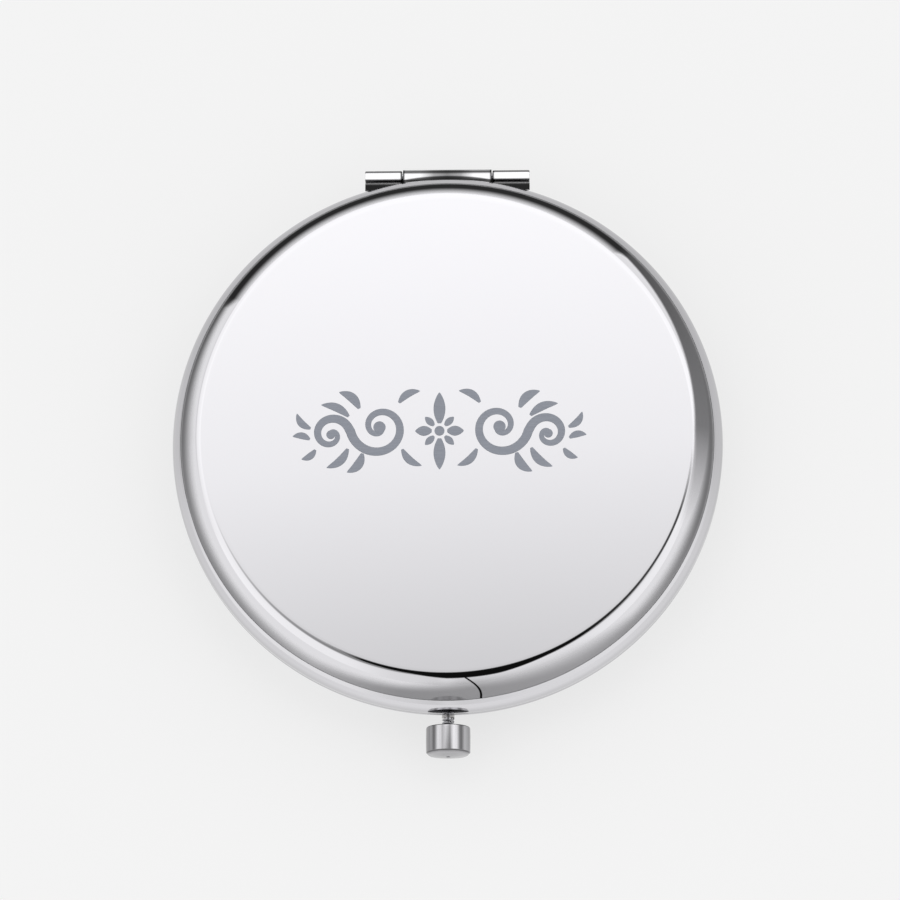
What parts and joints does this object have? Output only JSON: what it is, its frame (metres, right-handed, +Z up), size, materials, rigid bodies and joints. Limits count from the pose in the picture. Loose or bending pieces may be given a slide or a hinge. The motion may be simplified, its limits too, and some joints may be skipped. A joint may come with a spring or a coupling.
{
  "type": "compact mirror",
  "caption": "Round folding pocket mirror in a polished metal case, with a rear hinge and a spring push-button latch.",
  "frame": {"origin": "centre of the base's flat outer face, where the closed case rests", "axes": "+Z up from the base to the lid, +Y towards the hinge, -Y towards the push button"},
  "size_m": [0.065, 0.0711, 0.012],
  "materials": {
    "chrome_shell": "polished",
    "chrome_rim": "polished",
    "chrome_hardware": "polished",
    "chrome_button": "polished",
    "bright_steel": "satin",
    "bushing_nickel": "satin",
    "mirror_glass": "polished",
    "backing_card": "matte",
    "foam": "matte"
  },
  "bodies": {
    "base": {"base_cover": "chrome_shell", "base_frame": "chrome_rim", "base_magnifying_mirror": "mirror_glass", "base_mirror_card": "backing_card", "base_foam_pad": "foam", "base_hinge_leaf": "chrome_hardware", "base_hinge_rivets": "bright_steel", "hinge_pin": "bright_steel", "stem_bushing": "bushing_nickel", "return_spring": "bright_steel"},
    "lid": {"lid_cover": "chrome_shell", "lid_frame": "chrome_rim", "lid_mirror": "mirror_glass", "lid_mirror_card": "backing_card", "lid_foam_pad": "foam", "lid_hinge_leaf": "chrome_hardware", "lid_hinge_rivets": "bright_steel", "lid_strike_plate": "bright_steel"},
    "button": {"button_cap": "chrome_button", "button_stem": "bright_steel", "latch_tongue": "bright_steel", "stem_retaining_ring": "bright_steel"}
  },
  "joints": [
    {"name": "lid_hinge", "type": "hinge", "parent": "base", "child": "lid", "pos_m": [0, 0.0331, 0.006], "axis": [-1, 0, 0], "range_deg": [0, 180]},
    {"name": "button_press", "type": "slide", "parent": "base", "child": "button", "axis": [0, 1, 0], "range_m": [0, 0.0009], "stiffness_N_per_m": 800, "springref_m": -0.0008, "deforming": ["return_spring"]}
  ]
}
